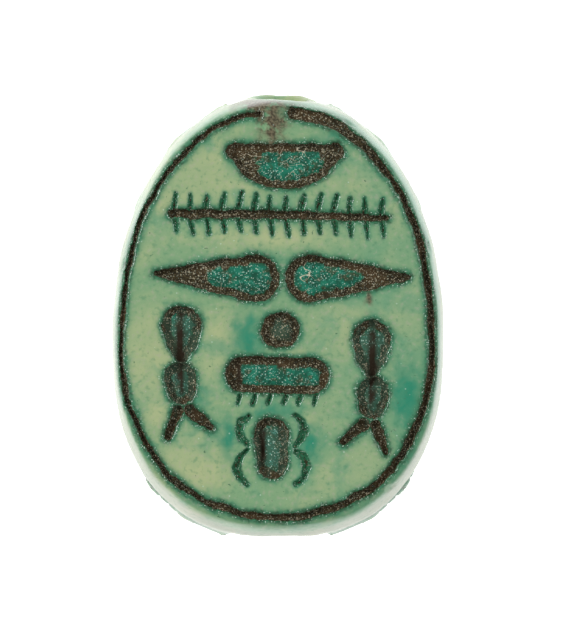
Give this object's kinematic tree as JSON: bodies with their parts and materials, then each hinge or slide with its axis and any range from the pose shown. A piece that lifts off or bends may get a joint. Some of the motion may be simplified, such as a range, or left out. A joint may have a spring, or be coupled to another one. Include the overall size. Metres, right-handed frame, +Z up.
{
  "type": "scarab amulet",
  "caption": "Small glazed beetle-shaped amulet on an oval plate with a carved flat underside, drilled lengthways, lying on its back.",
  "frame": {"origin": "on the ground under the middle of the amulet", "axes": "+Y towards the beetle's head, +X to the right of the carved underside with the head away from the viewer, +Z up out of the carved underside"},
  "size_m": [0.0126, 0.017, 0.0072],
  "materials": {
    "glazed_steatite": "gloss"
  },
  "bodies": {
    "root": {"scarab": "glazed_steatite"}
  },
  "joints": []
}
